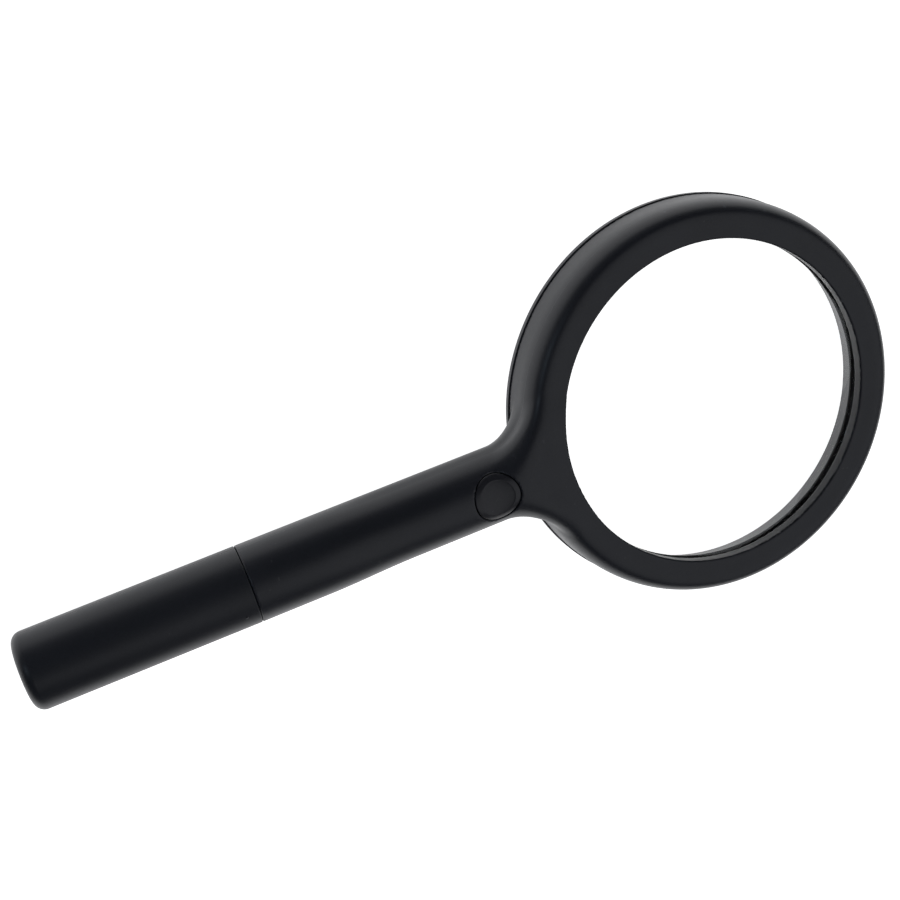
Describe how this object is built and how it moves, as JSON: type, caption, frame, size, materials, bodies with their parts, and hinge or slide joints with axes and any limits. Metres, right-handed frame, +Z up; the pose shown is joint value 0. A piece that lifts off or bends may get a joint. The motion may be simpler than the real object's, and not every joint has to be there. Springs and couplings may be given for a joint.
{
  "type": "illuminated hand magnifier",
  "caption": "Round reading magnifier with a lens ring on a straight round handle, a push button at the neck, a lamp beside the lens and a pull-off battery cap.",
  "frame": {"origin": "centre of the whole footprint, on the table that the handle rests on", "axes": "+X along the handle towards the lens, +Z up from the table along the lens axis, +Y across"},
  "size_m": [0.2484, 0.111, 0.0207],
  "materials": {
    "housing_plastic": "satin moulded black with a fine grain",
    "ring_plastic": "satin moulded black",
    "cap_plastic": "satin moulded black with a fine grain",
    "button_plastic": "matt moulded black, polished by the thumb",
    "lens_glass": "clear polished lens",
    "window_plastic": "clear moulded window",
    "led_epoxy": "clear epoxy with a yellow phosphor chip",
    "cushion_rubber": "soft black",
    "switch_plastic": "moulded black",
    "white_plastic": "moulded off-white",
    "contact_brass": "drawn brass",
    "spring_steel": "nickel-plated wire",
    "tinned_metal": "tinned",
    "board_laminate": "green solder mask",
    "cell_jacket": "printed film jacket, plain",
    "wire_red": "insulated lead",
    "wire_black": "insulated lead"
  },
  "bodies": {
    "handle": {"front_housing": "housing_plastic", "rear_ring": "ring_plastic", "lens": "lens_glass", "lens_cushion": "cushion_rubber", "switch_case": "switch_plastic", "switch_terminals": "tinned_metal", "circuit_board": "board_laminate", "resistor": "switch_plastic", "switch_carrier": "white_plastic", "positive_contact": "tinned_metal", "negative_strip": "tinned_metal", "battery_front": "cell_jacket", "battery_rear": "cell_jacket", "lamp_led": "led_epoxy", "lamp_leads": "tinned_metal", "lamp_board": "board_laminate", "lamp_window": "window_plastic", "wire_positive": "wire_red", "wire_negative": "wire_black", "switch_spring": "spring_steel"},
    "button": {"push_button": "button_plastic", "switch_plunger": "white_plastic", "switch_bridge": "contact_brass"},
    "cap_contacts": {"contact_sleeve": "contact_brass", "contact_plate": "tinned_metal", "contact_spring": "spring_steel"},
    "cap": {"battery_cap": "cap_plastic"}
  },
  "joints": [
    {"name": "button_press", "type": "slide", "parent": "handle", "child": "button", "axis": [0, 0, -1], "range_m": [0, 0.001], "stiffness_N_per_m": 1500, "springref_m": -0.001, "deforming": ["switch_spring"]},
    {"name": "cap_pull", "type": "slide", "parent": "handle", "child": "cap_contacts", "axis": [-1, 0, 0], "range_m": [0, 0.055]},
    {"name": "cap_turn", "type": "hinge", "parent": "cap_contacts", "child": "cap", "pos_m": [-0.09135, 0, 0.01035], "axis": [1, 0, 0], "range_deg": [0, 90]}
  ]
}
